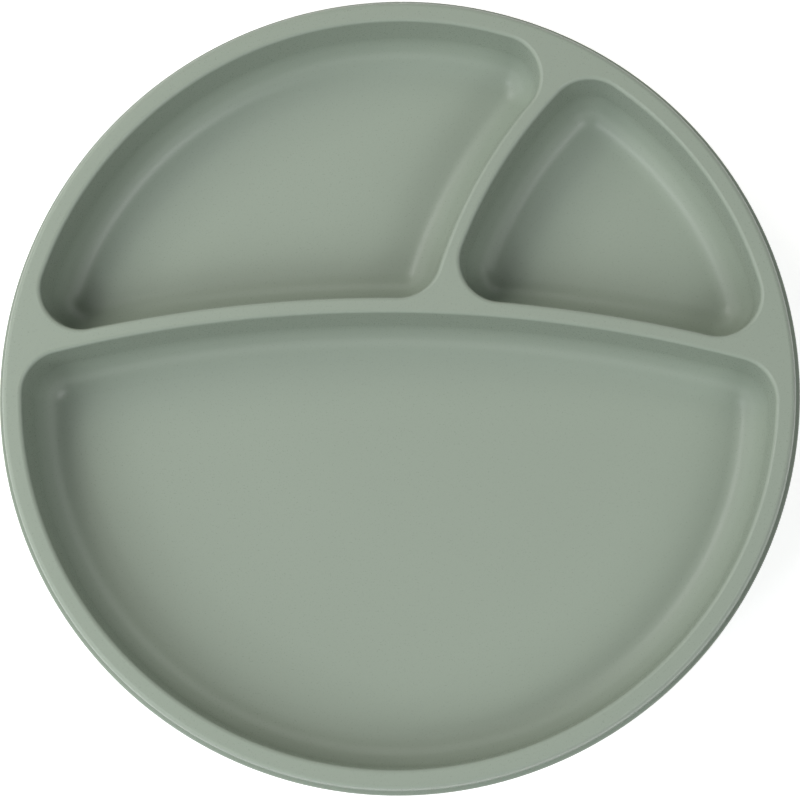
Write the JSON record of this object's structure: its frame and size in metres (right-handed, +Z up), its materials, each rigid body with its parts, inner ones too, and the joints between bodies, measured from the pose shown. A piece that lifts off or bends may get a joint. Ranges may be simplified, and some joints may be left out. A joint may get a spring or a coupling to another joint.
{
  "type": "suction plate",
  "caption": "Round divided silicone plate with curved walls between a large and two small compartments, on a suction cup with a release tab.",
  "frame": {"origin": "centre of the plate on the table that the sealing lip stands on", "axes": "+Z up, +Y to the back where the two small compartments and the release tab are, +X to the right as seen from the front"},
  "size_m": [0.2, 0.2, 0.034],
  "materials": {
    "tray_silicone": "matte sage-green silicone with a fine satin sheen",
    "cup_silicone": "satin sage-green silicone, smoother at the sealing face"
  },
  "bodies": {
    "suction_base": {"suction_cup": "cup_silicone"},
    "tray": {"divided_tray": "tray_silicone"},
    "tab": {"release_tab": "cup_silicone"}
  },
  "joints": [
    {"name": "press_down", "type": "slide", "parent": "suction_base", "child": "tray", "axis": [0, 0, 1], "range_m": [-0.002, 0], "stiffness_N_per_m": 2500, "springref_m": 0.001, "deforming": ["suction_cup"]},
    {"name": "tab_lift", "type": "hinge", "parent": "suction_base", "child": "tab", "pos_m": [0, 0.0703, 0.0008], "axis": [1, 0, 0], "range_deg": [0, 12], "stiffness_Nm_per_rad": 0.02}
  ]
}
